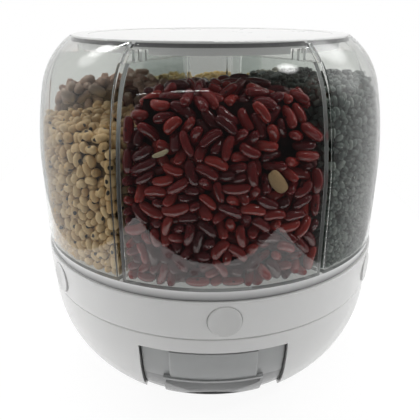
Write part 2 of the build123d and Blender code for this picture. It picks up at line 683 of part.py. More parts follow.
os.makedirs("parts", exist_ok=True)
for name, shape in nodes.items():
    export_step(shape, f"parts/{name}.step")
    print(name, len(shape.solids()), round(shape.volume))
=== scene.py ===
# %% [markdown]
# # A rotating dispenser for six kinds of dry food
#
# The real object is a round kitchen dispenser. Six clear tanks stand side by side on a white ring
# that turns on a white bowl. A button in the ring opens a shutter under its tank, and the food
# falls into a grey measuring cup that slides out of the bowl like a drawer.
#
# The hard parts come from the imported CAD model, and they keep their shape here. This lesson gives
# them their plastics, fills the tanks with beans, and sets up the studio.

import math

import bpy
import numpy as np
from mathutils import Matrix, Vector


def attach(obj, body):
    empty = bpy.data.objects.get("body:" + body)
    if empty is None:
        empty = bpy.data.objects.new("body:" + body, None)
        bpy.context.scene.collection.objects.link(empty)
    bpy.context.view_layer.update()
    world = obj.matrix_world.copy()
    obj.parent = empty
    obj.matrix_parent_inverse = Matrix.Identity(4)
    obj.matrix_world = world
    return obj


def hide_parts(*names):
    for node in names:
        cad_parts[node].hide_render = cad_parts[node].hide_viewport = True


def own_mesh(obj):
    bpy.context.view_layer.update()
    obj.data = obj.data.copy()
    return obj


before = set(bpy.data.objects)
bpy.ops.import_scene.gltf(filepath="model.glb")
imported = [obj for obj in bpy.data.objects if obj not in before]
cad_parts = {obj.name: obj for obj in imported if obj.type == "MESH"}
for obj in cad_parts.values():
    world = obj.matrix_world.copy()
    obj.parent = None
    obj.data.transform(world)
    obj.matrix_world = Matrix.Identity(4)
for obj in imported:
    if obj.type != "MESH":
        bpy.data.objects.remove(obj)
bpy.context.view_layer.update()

# %% [markdown]
# ## Sizes that the contents need
#
# The beans are laid against the inner faces of the tanks, so the tank's inner profile is repeated
# here from the part's source, in millimetres. A tank is a wedge of 60 degrees: an upright wall, a
# wide arc and then a tight arc up to the mouth. The floor is a shallow hopper.

# %% Tank sizes
mm = 0.001
rotor_turn = 3.0            # degrees that the rotor stands past the drawer
tank_names = ["front", "front_right", "rear_right", "rear", "rear_left", "front_left"]
tank_step = 360.0 / len(tank_names)
wall_inside = 141.8         # radius of the upright wall's inner face
upright_top = 175.0
wide_arc = (-156.0, 175.0, 297.8)   # centre radius, centre height, radius of the inner face
tight_arc = (77.85, 228.99, 57.8)
arcs_meet = 241.99          # height at which the two arcs meet
side_inset = 3.9            # half the gap between two tanks, and a wall
hub_inset = 37.9            # inner face of the wall at the hub
hopper_radii = [28.2, 89.0, 107.0, 141.8]
hopper_heights = [144.0, 117.0, 117.0, 121.5]
wedge = math.radians(tank_step / 2)

# %% [markdown]
# ## Camera
#
# The photograph looks down at the object by about 22 degrees from half a metre away, which is
# close, so the dome bulges. A camera matched to the outlines of lid, ring, seam and drawer gives
# its place, its pitch and its lens. It stands one degree to the left of the drawer.
#
# The eye looks through up to 14 faces of glass here. Cycles lets a ray go straight through 8 and
# then leaves it black, so that limit is raised.

# %% Camera
camera_distance = 440.9 * mm
camera_height = 298.7 * mm
camera_pitch = 21.89
camera_azimuth = -1.1
focal_pixels = 506.27
frame_pixels = 420
sensor = 36.0
straight_passes = 48

camera_data = bpy.data.cameras.new("photo_camera")
camera_data.sensor_width = sensor
camera_data.lens = focal_pixels / frame_pixels * sensor
camera_data.clip_start = 0.02
camera_data.clip_end = 20
camera = bpy.data.objects.new("photo_camera", camera_data)
bpy.context.collection.objects.link(camera)
turn = math.radians(camera_azimuth)
camera.location = (
    camera_distance * math.sin(turn),
    -camera_distance * math.cos(turn),
    camera_height,
)
camera.rotation_euler = (math.radians(90 - camera_pitch), 0, turn)
bpy.context.scene.camera = camera
bpy.context.scene.view_settings.view_transform = "Standard"
bpy.context.scene.cycles.transparent_max_bounces = straight_passes
print("lens, mm:", round(camera_data.lens, 2))

# %% [markdown]
# ## Helpers for materials
#
# Every material starts as a Principled shader with its output. A small helper places a node and
# wires its inputs, so that a recipe reads as a list of steps.

# %% Material helpers


def new_material(name):
    """An empty material: its node tree, its Principled shader and its output."""
    material = bpy.data.materials.new(name)
    material.use_nodes = True
    tree = material.node_tree
    tree.nodes.clear()
    output = tree.nodes.new("ShaderNodeOutputMaterial")
    shader = tree.nodes.new("ShaderNodeBsdfPrincipled")
    tree.links.new(shader.outputs["BSDF"], output.inputs["Surface"])
    return material, tree, shader, output


def wire(tree, node, values):
    """Feeds inputs of a node, by name or number: each value is a link or a plain value."""
    for socket, value in values.items():
        if isinstance(value, bpy.types.NodeSocket):
            tree.links.new(value, node.inputs[socket])
        else:
            node.inputs[socket].default_value = value


def add(tree, kind, wires=None, **settings):
    """Places a node of a kind. Settings are its properties; wires go to its inputs."""
    node = tree.nodes.new("ShaderNode" + kind)
    for key, value in settings.items():
        setattr(node, key, value)
    wire(tree, node, wires or {})
    return node


def object_place(tree):
    """Object coordinates: every piece sits at the origin, so they are places in the frame."""
    return add(tree, "TexCoord").outputs["Object"]


def maths(tree, operation, *values):
    """The result of a Math node on one, two or three values or links."""
    return add(tree, "Math", dict(enumerate(values)), operation=operation).outputs[0]


def rescale(tree, value, start, end, low=0.0, high=1.0, **settings):
    """A value that runs from start to end, turned into one that runs from low to high and stays there."""
    wires = {"Value": value, "From Min": start, "From Max": end, "To Min": low, "To Max": high}
    return add(tree, "MapRange", wires, **settings).outputs[0]


def bumped(tree, height, strength, depth, **more):
    """The normal of a skin whose height changes, with a strength up to 1 and a depth in metres."""
    wires = {"Strength": strength, "Distance": depth, "Height": height, **more}
    return add(tree, "Bump", wires).outputs["Normal"]


def blend_colours(tree, share, first, second):
    """A mix of two colours: the first where share is 0, the second where it is 1."""
    node = add(tree, "Mix", data_type="RGBA")
    wire(tree, node, {0: share, 6: first, 7: second})
    return node.outputs[2]


def ramp(tree, share, stops):
    """A colour ramp: stops are pairs of place and colour, in rising order."""
    node = tree.nodes.new("ShaderNodeValToRGB")
    line = node.color_ramp
    while len(line.elements) < len(stops):
        line.elements.new(1.0)
    for element, (place, colour) in zip(line.elements, stops):
        element.position = place
        element.color = (*colour, 1)
    tree.links.new(share, node.inputs[0])
    return node.outputs[0]


def new_group(name, inputs, outputs):
    """An empty shader group with named number or vector sockets, made with interface.new_socket."""
    group = bpy.data.node_groups.new(name, "ShaderNodeTree")
    kinds = {"number": "NodeSocketFloat", "vector": "NodeSocketVector"}
    for socket, (kind, value) in inputs.items():
        made = group.interface.new_socket(socket, in_out="INPUT", socket_type=kinds[kind])
        if kind == "number":
            made.default_value = value
    for socket, kind in outputs.items():
        group.interface.new_socket(socket, in_out="OUTPUT", socket_type=kinds[kind])
    return group, group.nodes.new("NodeGroupInput"), group.nodes.new("NodeGroupOutput")


def use_group(tree, group, **values):
    """Places a group in a material with its own values."""
    node = add(tree, "Group", node_tree=group)
    wire(tree, node, values)
    return node


# %% [markdown]
# ## Two effects that several plastics share
#
# Injection-moulded plastic is never quite even. The gloss swims a little from place to place, and
# the skin has a very fine ripple. The first group gives both: a roughness that drifts and a height
# for a Bump node. The second group gives a mask for the fine dust that settles on faces that look
# up, which softens their gloss.

# %% Shader groups: moulded skin and settled dust
moulded_skin, inside, outside = new_group(
    "moulded_skin",
    {"Place": ("vector", None), "Ripple": ("number", 400.0), "Drift": ("number", 18.0),
     "Gloss": ("number", 0.3), "Spread": ("number", 0.1)},
    {"Roughness": "number", "Height": "number", "Mottle": "number"},
)
ripple = add(moulded_skin, "TexNoise", {"Vector": inside.outputs["Place"],
             "Scale": inside.outputs["Ripple"], "Detail": 2.0})
drift = add(moulded_skin, "TexNoise", {"Vector": inside.outputs["Place"],
            "Scale": inside.outputs["Drift"], "Detail": 3.0, "Distortion": 0.6})
centred = maths(moulded_skin, "SUBTRACT", drift.outputs["Fac"], 0.5)
uneven = maths(moulded_skin, "MULTIPLY_ADD", centred, inside.outputs["Spread"], inside.outputs["Gloss"])
moulded_skin.links.new(uneven, outside.inputs["Roughness"])
moulded_skin.links.new(ripple.outputs["Fac"], outside.inputs["Height"])
moulded_skin.links.new(drift.outputs["Fac"], outside.inputs["Mottle"])

settled_dust, inside, outside = new_group(
    "settled_dust",
    {"Place": ("vector", None), "Amount": ("number", 0.3), "Size": ("number", 60.0)},
    {"Dust": "number"},
)
facing = add(settled_dust, "NewGeometry")
upward = add(settled_dust, "SeparateXYZ", {0: facing.outputs["Normal"]})
level_face = rescale(settled_dust, upward.outputs["Z"], 0.3, 0.95)
patches = add(settled_dust, "TexNoise", {"Vector": inside.outputs["Place"],
              "Scale": inside.outputs["Size"], "Detail": 5.0, "Roughness": 0.7})
uneven = maths(settled_dust, "MULTIPLY", patches.outputs["Fac"], level_face)
amount = maths(settled_dust, "MULTIPLY", uneven, inside.outputs["Amount"])
settled_dust.links.new(amount, outside.inputs["Dust"])
print("groups:", moulded_skin.name, settled_dust.name)

# %% [markdown]
# ## Solid plastics, rubber and metal
#
# Bowl, ring, buttons and lid are polished white plastic. The tray, the wheel and the deck inside
# are the same plastic with a duller skin, and the cage of the ball ring is natural nylon. One
# function makes them all, because only colour, gloss and ripple differ. The colour drifts by one
# or two percent, as it does where the plastic cooled at different speeds.
#
# The lid, the tray and the buttons have finishes of their own. The foot of the tray's rim is painted
# darker: painted shade above the gap to the ring.
# The plug under the lid, and the tray within its rim, glow a little: painted light for the light that
# comes through them.
# The buttons are a tone darker than the ring.

# %% Materials of the solid parts
plastic_ior = 1.5
moulded_edge = 0.8 * mm     # radius that softens the edges of white pieces in the shading


def solid_plastic(name, pale, deep, gloss, spread, ripple_size, ripple_depth, dust, lower=None,
                  softened=False):
    """Opaque plastic: colour drifts between two tones, gloss drifts, a fine ripple bumps the skin. The
    option lower gives a height, the way down to the end of the blend, and the tone below it.
    Softened edges catch the light, as moulded ones do."""
    material, tree, shader, _ = new_material(name)
    place = object_place(tree)
    skin = use_group(tree, moulded_skin, Place=place, Ripple=ripple_size, Drift=22.0,
                     Gloss=gloss, Spread=spread)
    colour = ramp(tree, skin.outputs["Mottle"], [(0.3, deep), (0.7, pale)])
    rough = skin.outputs["Roughness"]
    if dust:
        powder = use_group(tree, settled_dust, Place=place, Amount=dust, Size=140.0)
        rough = maths(tree, "ADD", rough, powder.outputs["Dust"])
    if lower:
        start, way_down, tone = lower
        level = add(tree, "SeparateXYZ", {0: place}).outputs["Z"]
        under = rescale(tree, level, start, start - way_down)
        colour = blend_colours(tree, under, colour, (*tone, 1))
    more = {}
    if softened:
        edges = add(tree, "Bevel", {"Radius": moulded_edge}, samples=4)
        more["Normal"] = edges.outputs["Normal"]
    normal = bumped(tree, skin.outputs["Height"], 0.25, ripple_depth, **more)
    wire(tree, shader, {"Base Color": colour, "Roughness": rough, "Normal": normal, "IOR": plastic_ior})
    return material


def metal(name, colour, gloss, brushed):
    """Bare metal: its gloss changes along fine rings or streaks."""
    material, tree, shader, _ = new_material(name)
    skin = use_group(tree, moulded_skin, Place=object_place(tree), Ripple=brushed, Drift=90.0,
                     Gloss=gloss, Spread=0.25)
    tint = ramp(tree, skin.outputs["Mottle"], [(0.3, [c * 0.85 for c in colour]), (0.7, colour)])
    normal = bumped(tree, skin.outputs["Height"], 0.2, 0.00003)
    wire(tree, shader, {"Base Color": tint, "Roughness": skin.outputs["Roughness"], "Normal": normal,
                        "Metallic": 1.0})
    return material


# painted shade: the foot of the tray's rim is darkened from this height down
tray_shade_top = 119.0 * mm      # the tray's rim darkens from here down
plug_top = 276.5 * mm       # just above the underside of the lid's disc
rim_inside = 141.55 * mm    # just within the inner face of the tray's rim
bright = (0.80, 0.80, 0.79), (0.78, 0.78, 0.775)    # pale and deep tone
polish = 0.24, 0.10, 260.0, 0.00004, 0.12           # gloss, its spread, ripple size and depth, dust

finishes = {
    "white_plastic": solid_plastic("polished_white", *bright, *polish, softened=True),
    "white_matte": solid_plastic("dull_white", (0.78, 0.78, 0.77), (0.75, 0.75, 0.745),
                                 0.42, 0.14, 900.0, 0.00008, 0.15),
    "cage_plastic": solid_plastic("natural_nylon", (0.72, 0.68, 0.58), (0.66, 0.62, 0.52),
                                  0.45, 0.12, 700.0, 0.00006, 0.0),
    "seal_silicone": solid_plastic("grey_silicone", (0.055, 0.058, 0.06), (0.04, 0.043, 0.045),
                                   0.5, 0.1, 800.0, 0.00005, 0.2),
    "rubber_foot": solid_plastic("grey_rubber", (0.09, 0.09, 0.09), (0.06, 0.06, 0.06),
                                 0.65, 0.12, 1200.0, 0.0001, 0.2),
    "screw_steel": metal("zinc_plated_steel", (0.62, 0.63, 0.65), 0.32, 1600.0),
    "spring_steel": metal("drawn_spring_steel", (0.55, 0.56, 0.58), 0.25, 2400.0),
    "ball_steel": metal("polished_steel", (0.68, 0.69, 0.71), 0.12, 1200.0),
    "lid": solid_plastic("lid_white", *bright, *polish, (plug_top, 0.5 * mm, (0.80, 0.80, 0.80))),
    # the tray: painted shade turns the foot of its rim to dark grey over six millimetres
    "rotor_tray": solid_plastic("tray_white_painted_shade_glow", (0.86, 0.86, 0.86), (0.84, 0.84, 0.84), 0.22, 0.10,
                                260.0, 0.00004, 0.0, (tray_shade_top, 6.0 * mm, (0.36, 0.36, 0.36))),
}


def painted_light_through(material, measure, start, end, level):
    """Painted light for the light that comes through thin plastic: an emitted glow where the height or
    the radius passes from start to end."""
    tree = material.node_tree
    apart = add(tree, "SeparateXYZ", {0: object_place(tree)})
    across = add(tree, "CombineXYZ", {"X": apart.outputs["X"], "Y": apart.outputs["Y"]})
    radius = add(tree, "VectorMath", {0: across.outputs[0]}, operation="LENGTH")
    value = {"height": apart.outputs["Z"], "radius": radius.outputs["Value"]}[measure]
    shader = next(node for node in tree.nodes if node.type == "BSDF_PRINCIPLED")
    wire(tree, shader, {"Emission Color": (0.97, 1, 0.985, 1),
                        "Emission Strength": rescale(tree, value, start, end, high=level)})


button_white = solid_plastic("button_white", (0.73, 0.73, 0.72), (0.70, 0.70, 0.695), 0.26, 0.10,
                             260.0, 0.00004, 0.12, softened=True)
finishes.update({"button_" + name: button_white for name in tank_names})
# painted light: the tray within its rim and the plug under the lid glow by emission
painted_light_through(finishes["rotor_tray"], "radius", rim_inside, rim_inside - 0.55 * mm, 0.30)
painted_light_through(finishes["lid"], "height", plug_top, plug_top - 0.5 * mm, 0.10)
print("solid finishes:", ", ".join(sorted(finishes)))

# %% [markdown]
# ## Clear and smoky plastic
#
# The tanks are clear polystyrene-like plastic, a little over two millimetres thick. Their walls are
# real closed solids, so the shader bends light at both faces, and the double lines between two
# tanks come by themselves. Light from the lamps and from the pale beans would be lost in that glass,
# so a Light Path node lets it pass straight through. Faint wipe marks change the gloss.
#
# The drawer is moulded from smoky plastic. It lets some light through and scatters the rest.

# %% Materials of the see-through parts
ledge_height = 36 * mm      # just above the underside of the drawer's finger ledge


def clear_plastic(name, tint, haze, ior, trapped):
    """Bending glass for what the eye sees, and a plain pass for lamps, for bounced light and for light
    that has met more faces than trapped. Where light is thrown back inside a wall, a share of the glass
    turns into a grey diffuse lit by the lamps: painted light for what the wall edges reflect, so they
    look grey and not black."""
    material, tree, shader, output = new_material(name)
    skin = use_group(tree, moulded_skin, Place=object_place(tree), Ripple=60.0, Drift=28.0,
                     Gloss=haze, Spread=haze * 1.4)
    wire(tree, shader, {"Roughness": skin.outputs["Roughness"], "Base Color": (*tint, 1), "IOR": ior,
                        "Transmission Weight": 1.0})
    path = add(tree, "LightPath")
    long = maths(tree, "GREATER_THAN", path.outputs["Ray Depth"], trapped)
    free = maths(tree, "MAXIMUM", path.outputs["Is Shadow Ray"], path.outputs["Is Diffuse Ray"])
    free = maths(tree, "MAXIMUM", free, long)
    # painted light: where light is thrown back inside a wall, a lamp-lit grey diffuse stands in for what
    # the edges reflect
    thrown_back = add(tree, "Fresnel", {"IOR": ior})
    inner = maths(tree, "GREATER_THAN", thrown_back.outputs[0], 0.95)
    inner = maths(tree, "MULTIPLY", inner, 0.22)
    painted_edge_light = add(tree, "BsdfDiffuse", {"Color": (0.62, 0.64, 0.63, 1)})
    seen = add(tree, "MixShader", {0: inner, 1: shader.outputs["BSDF"], 2: painted_edge_light.outputs[0]})
    straight = add(tree, "BsdfTransparent", {"Color": (0.935, 0.945, 0.94, 1)})
    both = add(tree, "MixShader", {0: free, 1: seen.outputs[0], 2: straight.outputs[0]})
    tree.links.new(both.outputs[0], output.inputs["Surface"])
    return material


def smoky_plastic(name, pale, deep, clearness):
    """Grey plastic that is part see-through: colour clouds a little, as pigment does in thin walls. Below
    the finger ledge the colour turns halfway to near black: painted shade in the finger scoop."""
    material, tree, shader, _ = new_material(name)
    place = object_place(tree)
    skin = use_group(tree, moulded_skin, Place=place, Ripple=180.0, Drift=30.0, Gloss=0.2, Spread=0.1)
    colour = ramp(tree, skin.outputs["Mottle"], [(0.3, deep), (0.7, pale)])
    # painted shade: below the finger ledge the colour turns halfway to near black
    level = add(tree, "SeparateXYZ", {0: place}).outputs["Z"]
    under = rescale(tree, level, ledge_height, ledge_height - 1 * mm, high=0.5)
    colour = blend_colours(tree, under, colour, (0.10, 0.10, 0.10, 1))
    softened = add(tree, "Bevel", {"Radius": 0.9 * mm}, samples=6)
    normal = bumped(tree, skin.outputs["Height"], 0.2, 0.00005, Normal=softened.outputs["Normal"])
    wire(tree, shader, {"Base Color": colour, "Roughness": skin.outputs["Roughness"], "Normal": normal,
                        "IOR": plastic_ior, "Transmission Weight": clearness})
    return material


finishes["clear_plastic"] = clear_plastic("clear_tank_plastic", (0.935, 0.94, 0.925), 0.015,
                                          plastic_ior, 5)
finishes["smoky_plastic"] = smoky_plastic("smoky_drawer_plastic", (0.50, 0.51, 0.51),
                                          (0.46, 0.47, 0.47), 0.2)

painted = 0
for name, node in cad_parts.items():
    for slot in node.material_slots:
        slot.material = finishes.get(name, finishes[slot.material.name])
        painted += 1
print("material slots given a finish:", painted)

# %% [markdown]
# ## Springs
#
# In the CAD model a spring is a rigid coil between a fixed seat and its shutter. A copy of its mesh
# stands for it here and rides on the rotor, and the CAD spring is hidden.

# %% Springs
for index, name in enumerate(tank_names):
    coil = bpy.data.objects.new("coil_" + name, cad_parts["spring_" + name].data.copy())
    bpy.context.collection.objects.link(coil)
    places = np.empty(len(coil.data.vertices) * 3)
    coil.data.vertices.foreach_get("co", places)
    places = places.reshape(-1, 3)
    middle = (places.min(0) + places.max(0)) / 2
    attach(coil, "rotor")
    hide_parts("spring_" + name)
    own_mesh(coil)

# %% [markdown]
# ## One bean as a closed surface
#
# A bean is a lens or a barrel that may bend. A grid with one angle from tip to tip and one angle
# round the girth gives all of them: a power of the sine makes the ends blunt or pointed, a bend
# lifts both ends, and a dent presses in the side where the seed hung. The tips are single points,
# so the skin is closed. A few dozen triangles are enough, because each kind is repeated hundreds
# of times.

# %% Bean surface


def map_triangles(*corners):
    """Flat map places of many triangles: each corner is a pair, across and up, of arrays or numbers."""
    pairs = [np.stack(np.broadcast_arrays(u, v), -1) for u, v in corners]
    return np.stack(pairs, -2).reshape(-1, 3, 2)


def bean_surface(length, width, thickness, blunt, bend, dent, rows, columns):
    """Points, triangles and flat map places of one bean.

    Along the bean, x = -cos(t) * length / 2 for t from 0 to pi. The girth is sin(t) ** blunt. Round
    it, y = girth * cos(a) * width / 2 and z = girth * sin(a) * thickness / 2. The bend adds
    bend * (x / half length) ** 2 to y, and the dent takes a share off the girth near x = 0 and
    a = 0.
    """
    t = np.linspace(0, np.pi, rows + 2)[1:-1, None]
    a = np.arange(columns)[None, :] / columns * 2 * np.pi
    x = -np.cos(t) * np.ones_like(a)
    pressed = 1 - dent * np.exp(-(x / 0.35) ** 2) * np.maximum(np.cos(a), 0) ** 2
    girth = np.sin(t) ** blunt * pressed
    y = girth * np.cos(a) * width / 2 + bend * (x**2 - 0.4)
    z = girth * np.sin(a) * thickness / 2
    skin = np.stack([x * length / 2, y, z], -1).reshape(-1, 3)
    tips = np.array([[-length / 2, bend * 0.6, 0], [length / 2, bend * 0.6, 0]])
    points = np.concatenate([skin, tips])
    row, column = np.meshgrid(np.arange(rows - 1), np.arange(columns), indexing="ij")
    after = (column + 1) % columns
    a0, a1 = row * columns + column, row * columns + after
    b0, b1 = a0 + columns, a1 + columns
    band = np.concatenate([np.stack([a0, b0, b1], -1).reshape(-1, 3),
                           np.stack([a0, b1, a1], -1).reshape(-1, 3)])
    u0, u1 = column / columns, (column + 1) / columns
    v0, v1 = (row + 1) / (rows + 1), (row + 2) / (rows + 1)
    ring = np.arange(columns)
    follow = (ring + 1) % columns
    last = (rows - 1) * columns
    start_tip = np.stack([np.full(columns, rows * columns), ring, follow], -1)
    end_tip = np.stack([np.full(columns, rows * columns + 1), last + follow, last + ring], -1)
    middle = (ring + 0.5) / columns
    left, right = ring / columns, (ring + 1) / columns
    low, high = 1 / (rows + 1), rows / (rows + 1)
    corners = np.concatenate([band, start_tip, end_tip])
    places = np.concatenate([
        map_triangles((u0, v0), (u0, v1), (u1, v1)),
        map_triangles((u0, v0), (u1, v1), (u1, v0)),
        map_triangles((middle, 0), (left, low), (right, low)),
        map_triangles((middle, 1), (right, high), (left, high)),
    ])
    p0, p1, p2 = points[corners[:, 0]], points[corners[:, 1]], points[corners[:, 2]]
    if np.einsum("ij,ij->", p0, np.cross(p1, p2)) < 0:
        corners, places = corners[:, ::-1], places[:, ::-1]
    return points, corners, places


sample = bean_surface(16.0, 8.0, 6.4, 0.7, 1.2, 0.15, 8, 8)
print("kidney bean:", len(sample[0]), "points,", len(sample[1]), "triangles")

# %% [markdown]
# ## How beans lie in a tank
#
# Real beans fall in and jam against each other and against the walls. A rigid-body simulation of
# some thousand beans is slow, and only the outer layers are ever seen. So each bean is taken as a
# short chain of balls, and chains that overlap are pushed apart a little at a time, while the walls,
# the hopper and the top of the heap push them back in. After some rounds they lie as a jammed heap
# does. They are kept in a layer two or three beans deep behind the walls and under the top.

# %% Distances from the walls of a tank
wave_count = 4              # slow waves on the top of a heap
shown_walls = 4             # outer wall, both side walls and top, of the six that a heap has


def wall_radius(height):
    """Inner radius of the tank: upright up to upright_top, then the wide arc, then the tight arc."""
    wide = wide_arc[0] + np.sqrt(np.maximum(wide_arc[2] ** 2 - (height - wide_arc[1]) ** 2, 1))
    tight = tight_arc[0] + np.sqrt(np.maximum(tight_arc[2] ** 2 - (height - tight_arc[1]) ** 2, 1))
    return np.where(height < upright_top, wall_inside, np.where(height < arcs_meet, wide, tight))


def heap_top(points, heap):
    """Height of the heap's top: its level, and slow waves whose directions come from its seed."""
    rng = np.random.default_rng(heap["seed"])
    height = np.full(points.shape[:-1], heap["level"])
    for _ in range(wave_count):
        angle, phase = rng.uniform(0, 2 * np.pi, 2)
        wave = rng.uniform(28, 90)
        along = points[..., 0] * np.cos(angle) + points[..., 1] * np.sin(angle)
        height = height + heap["waves"] / wave_count * np.sin(along * 2 * np.pi / wave + phase)
    return height


def wall_distances(points, heap):
    """Distances of points (out, side, up) from outer wall, two side walls, top, hub wall and hopper."""
    radius = np.hypot(points[..., 0], points[..., 1])
    outer = wall_radius(points[..., 2]) - radius
    lean = points[..., 0] * math.sin(wedge)
    across = points[..., 1] * math.cos(wedge)
    top = heap_top(points, heap) - points[..., 2]
    hub = points[..., 0] - hub_inset
    hopper = points[..., 2] - np.interp(radius, hopper_radii, hopper_heights)
    return np.stack([outer, lean + across - side_inset, lean - across - side_inset, top, hub, hopper], -1)


def ways_in(points):
    """Unit vectors that lead away from each of the six boundaries."""
    radius = np.maximum(np.hypot(points[..., 0], points[..., 1]), 1e-6)
    zero, one = np.zeros_like(radius), np.ones_like(radius)
    slope = np.clip((points[..., 2] - upright_top) / 120, 0, 0.75)
    inward = np.stack([-points[..., 0] / radius, -points[..., 1] / radius, -slope], -1)
    inward = inward / np.linalg.norm(inward, axis=-1, keepdims=True)
    side = np.stack([one * math.sin(wedge), one * math.cos(wedge), zero], -1)
    other = np.stack([one * math.sin(wedge), -one * math.cos(wedge), zero], -1)
    down, out, up = (np.stack(v, -1) for v in ((zero, zero, -one), (one, zero, zero), (zero, zero, one)))
    return np.stack([inward, side, other, down, out, up], -2)


def near_pairs(points, reach):
    """Pairs of points nearer than about reach: points are sorted into cubes, and cubes compared with
    the 26 cubes round them."""
    cube = np.floor((points - points.min(0)) / reach).astype(np.int64) + 1
    size = cube.max(0) + 2
    key = (cube[:, 0] * size[1] + cube[:, 1]) * size[2] + cube[:, 2]
    order = np.argsort(key, kind="stable")
    ordered = key[order]
    me = np.arange(len(points))
    firsts, seconds = [], []
    for shift in np.ndindex(3, 3, 3):
        dx, dy, dz = (s - 1 for s in shift)
        other = key + (dx * size[1] + dy) * size[2] + dz
        start = np.searchsorted(ordered, other, "left")
        stop = np.searchsorted(ordered, other, "right")
        for place in range(int((stop - start).max())):
            there = start + place < stop
            first, second = me[there], order[start[there] + place]
            keep = first < second
            firsts.append(first[keep])
            seconds.append(second[keep])
    return np.concatenate(firsts), np.concatenate(seconds)


print("wall radius at 150, 200 and 250 mm:", wall_radius(np.array([150.0, 200.0, 250.0])).round(1))

# %% [markdown]
# The push between two balls is half their overlap each way. A ball that several others push moves
# by a share of the sum, which keeps the heap calm. The balls swell from a part of their size to
# their whole size, so that they can slide past each other at first, and all sink a little.

# %% Settle a heap
heap_box_low = np.array([hub_inset, -75.0, 117.0])
trial_places = 120000       # random places, of which the first in the layer get a bean
rounds = 160
sinking = 0.06              # how far a free bean sinks in each round
first_size = 0.6            # share of their size that the balls start with
pairs_again = 4             # rounds between two searches for neighbours


def settle(bean, heap):
    """Centres and long axes of the beans of one heap, in millimetres, as (out, side, up).

    A ball that is too near a wall moves in by what is missing. One that lies deeper than the layer
    moves back towards the nearest wall by half of what it is too deep.
    """
    rng = np.random.default_rng(heap["seed"] + 100)
    ball, reach, links, depth = bean["ball"], bean["reach"], bean["links"], bean["depth"]
    high = np.array([wall_inside, 75.0, heap["level"] + heap["waves"]])
    tries = rng.uniform(heap_box_low, high, (trial_places, 3))
    space = wall_distances(tries, heap)
    seen = (space.min(-1) > 0) & (space[:, :shown_walls].min(-1) < depth)
    room = seen.mean() * np.prod(high - heap_box_low)
    body = 4 / 3 * np.pi * ball**3 + 2 * np.pi * ball**2 * reach
    number = int(room * bean["share"] / body)
    centre = tries[seen][:number].copy()
    axis = rng.normal(size=(number, 3)) * [1.0, 1.0, bean.get("lying", 1.0)]
    axis /= np.linalg.norm(axis, axis=1, keepdims=True)
    along = np.linspace(-reach, reach, links) if links > 1 else np.zeros(1)
    every = np.arange(number * links)
    for round_number in range(rounds):
        size = ball * min(1.0, first_size + (1 - first_size) * round_number / (rounds * 0.5))
        balls = (centre[:, None] + axis[:, None] * along[None, :, None]).reshape(-1, 3)
        if round_number % pairs_again == 0:
            first, second = near_pairs(balls, ball * 2.6)
            apart = first // links != second // links
            first, second = first[apart], second[apart]
        gap = balls[second] - balls[first]
        length = np.maximum(np.linalg.norm(gap, axis=1), 1e-6)
        overlap = np.maximum(2 * size - length, 0)
        push = gap * (overlap / length * 0.5)[:, None]
        move = np.stack([np.bincount(second, push[:, k], len(balls))
                         - np.bincount(first, push[:, k], len(balls)) for k in range(3)], -1)
        pushed = np.bincount(first[overlap > 0], minlength=len(balls))
        pushed = pushed + np.bincount(second[overlap > 0], minlength=len(balls))
        balls = balls + move / np.maximum(pushed * 0.45, 1)[:, None] - [0, 0, sinking]
        space = wall_distances(balls, heap)
        lead = ways_in(balls)
        balls = balls + (lead * np.maximum(size - space, 0)[..., None]).sum(-2)
        nearest = space[:, :shown_walls].argmin(-1)
        deep = np.maximum(space[every, nearest] - (depth - size), 0)
        balls = balls - lead[every, nearest] * (deep * 0.5)[:, None]
        chains = balls.reshape(number, links, 3)
        centre = chains.mean(1)
        if links > 1:
            axis = chains[:, -1] - chains[:, 0]
            axis /= np.maximum(np.linalg.norm(axis, axis=1, keepdims=True), 1e-9)
    return centre, axis


# %% [markdown]
# ## From heap to mesh
#
# Each bean gets its own frame: its long axis, and a flat side that turns towards the nearest wall,
# because flat beans lie flat against glass. All beans of a heap become one mesh. Three attributes
# go with it: where a point is on its bean, a random number for each bean, and a flat map in which
# name of the flat map in which each bean has a square of its own

# %% Mesh of a heap
bake_map = "OFBake"         # the export paints the beans through a map of this name
map_margin = 0.06           # rim that each bean's square in the map leaves free


def tank_to_world(points, index):
    """Turns (out, side, up) in millimetres into metres in the frame: out is -Y turned about +Z."""
    angle = math.radians(rotor_turn + tank_step * index)
    out = np.array([math.sin(angle), -math.cos(angle), 0])
    side = np.array([math.cos(angle), math.sin(angle), 0])
    up = np.array([0, 0, 1.0])
    return (points[..., :1] * out + points[..., 1:2] * side + points[..., 2:] * up) * mm


def bean_frames(centre, axis, heap, rng, loose):
    """Three axes for each bean: its length, its width, and its thickness towards the nearest wall."""
    space = wall_distances(centre, heap)
    nearest = space[:, :shown_walls].argmin(-1)
    wall = ways_in(centre)[np.arange(len(centre)), nearest]
    wall = wall + rng.normal(size=wall.shape) * loose
    width = np.cross(wall, axis)
    width /= np.maximum(np.linalg.norm(width, axis=1, keepdims=True), 1e-6)
    width *= rng.choice([-1, 1], len(width))[:, None]
    thick = np.cross(axis, width)
    return np.stack([axis, width, thick], 1)


def put_mesh(name, points, corners, material, body):
    """A mesh from points and triangles by foreach_set, riding on a body."""
    mesh = bpy.data.meshes.new(name)
    mesh.vertices.add(len(points))
    mesh.vertices.foreach_set("co", np.ascontiguousarray(points, dtype=np.float32).ravel())
    mesh.loops.add(corners.size)
    mesh.loops.foreach_set("vertex_index", np.ascontiguousarray(corners, dtype=np.int32).ravel())
    mesh.polygons.add(len(corners))
    mesh.polygons.foreach_set("loop_start", np.arange(0, corners.size, corners.shape[1], dtype=np.int32))
    mesh.polygons.foreach_set("use_smooth", np.ones(len(corners), dtype=bool))
    mesh.update(calc_edges=True)
    mesh.materials.append(material)
    piece = bpy.data.objects.new(name, mesh)
    bpy.context.collection.objects.link(piece)
    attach(piece, body)
    return piece


